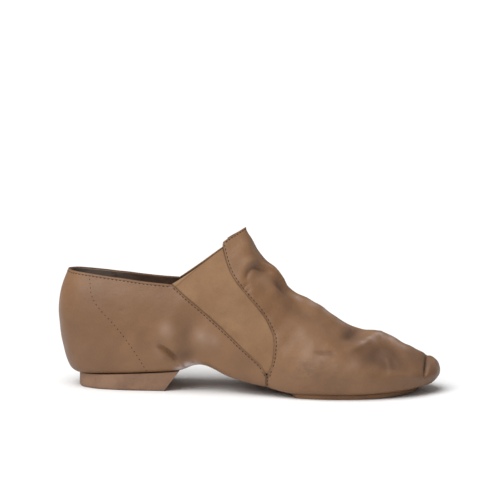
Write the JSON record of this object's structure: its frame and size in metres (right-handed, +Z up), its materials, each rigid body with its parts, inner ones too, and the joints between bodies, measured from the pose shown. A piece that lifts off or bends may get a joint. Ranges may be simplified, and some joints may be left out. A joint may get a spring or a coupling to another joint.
{
  "type": "split-sole slip-on dance shoe",
  "caption": "Soft slip-on leather dance shoe for the right foot, with elastic side gores, a raised instep flap, a thin forefoot sole and a small heel block.",
  "frame": {"origin": "centre of the heel block's rest face, on the surface the shoe stands on", "axes": "+X from the heel to the toe, +Y to the inner (medial) side, +Z up"},
  "size_m": [0.2476, 0.0883, 0.105],
  "materials": {
    "upper_leather": "soft satin tan leather, worn and creased",
    "elastic": "matt ribbed tan elastic webbing",
    "heel_block": "matt tan rubber",
    "tread_sole": "matt brushed sole leather",
    "insole_sock": "matt pale worn lining leather"
  },
  "bodies": {
    "root": {"upper": "upper_leather", "gore_lateral": "elastic", "gore_medial": "elastic", "heel": "heel_block", "tread": "tread_sole", "insole": "insole_sock"}
  },
  "joints": []
}
